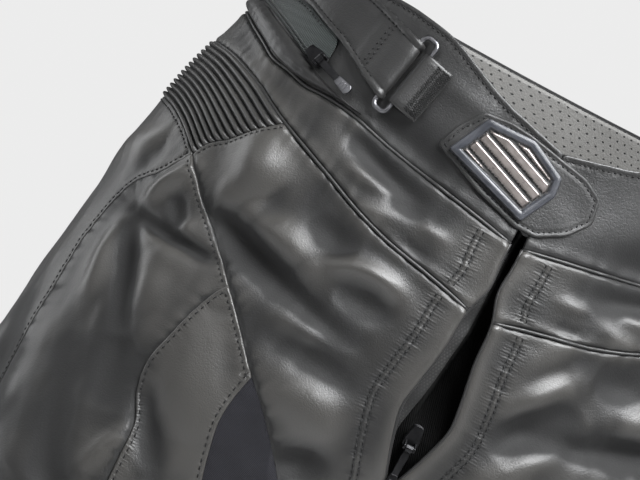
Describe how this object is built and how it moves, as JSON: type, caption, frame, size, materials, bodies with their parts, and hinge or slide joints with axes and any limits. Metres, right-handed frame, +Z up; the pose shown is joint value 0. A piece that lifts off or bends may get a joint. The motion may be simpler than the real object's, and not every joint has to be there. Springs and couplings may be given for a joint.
{
  "type": "leather trousers",
  "caption": "Black leather motorcycle trousers, filled out as if worn: yoke, ribbed hip panels, curved zip pockets, waist straps with rings, open fly, stretch inner thighs.",
  "frame": {"origin": "middle of the waist opening, level with its edge at the centre front, where the wearer's waist carries the trousers", "axes": "+Z up the body, the front faces -Y, the wearer's right side is at -X"},
  "size_m": [0.47, 0.2615, 1.0409],
  "materials": {
    "leather": "black grained leather, satin",
    "stretch_fabric": "matte charcoal stretch fabric",
    "zip_tape": "dark woven tape",
    "perforated_lining": "black perforated leather",
    "rubber_plate": "grey moulded rubber",
    "zip_metal": "black enamelled zip slider",
    "pull_metal": "bright zip pull",
    "ring_metal": "bright wire ring"
  },
  "bodies": {
    "trousers": {"waistband_front_right": "leather", "waistband_front_left": "leather", "waistband_back_right": "leather", "waistband_back_left": "leather", "yoke_front_right": "leather", "yoke_front_left": "leather", "yoke_back_right": "leather", "yoke_back_left": "leather", "rib_panel_right": "leather", "rib_panel_left": "leather", "front_hip_right": "leather", "front_hip_left": "leather", "side_leg_right": "leather", "side_leg_left": "leather", "side_shin_right": "leather", "side_shin_left": "leather", "outer_thigh_right": "leather", "outer_thigh_left": "leather", "front_leg_right": "leather", "front_leg_left": "leather", "shin_right": "leather", "shin_left": "leather", "stretch_insert_right": "stretch_fabric", "stretch_insert_left": "stretch_fabric", "seat_right": "leather", "seat_left": "leather", "back_leg_right": "leather", "back_leg_left": "leather", "calf_right": "leather", "calf_left": "leather", "pocket_lip_right": "leather", "pocket_lip_left": "leather", "pocket_zip_tape_right": "zip_tape", "pocket_zip_tape_left": "zip_tape", "pocket_slider_right": "zip_metal", "pocket_slider_left": "zip_metal", "waist_strap_right": "leather", "waist_strap_left": "leather", "strap_loop_right": "leather", "strap_loop_left": "leather", "strap_ring_right": "ring_metal", "strap_ring_left": "ring_metal", "waist_tab": "leather", "waist_plate": "rubber_plate", "fly_underlap": "leather", "waist_lining": "perforated_lining", "fly_slider": "zip_metal"},
    "pull_right": {"pocket_pull_right": "pull_metal"},
    "pull_left": {"pocket_pull_left": "pull_metal"},
    "pull_fly": {"fly_pull": "zip_metal"}
  },
  "joints": [
    {"name": "pocket_pull_right_swing", "type": "hinge", "parent": "trousers", "child": "pull_right", "pos_m": [-0.12824, -0.08597, -0.01495], "axis": [-0.3576, 0.0226, -0.9336], "range_deg": [0, 150]},
    {"name": "pocket_pull_left_swing", "type": "hinge", "parent": "trousers", "child": "pull_left", "pos_m": [0.12824, -0.08597, -0.01495], "axis": [-0.3576, -0.0226, 0.9336], "range_deg": [0, 150]},
    {"name": "fly_pull_swing", "type": "hinge", "parent": "trousers", "child": "pull_fly", "pos_m": [0, -0.11932, -0.16598], "axis": [-1, 0, 0], "range_deg": [0, 150]}
  ]
}
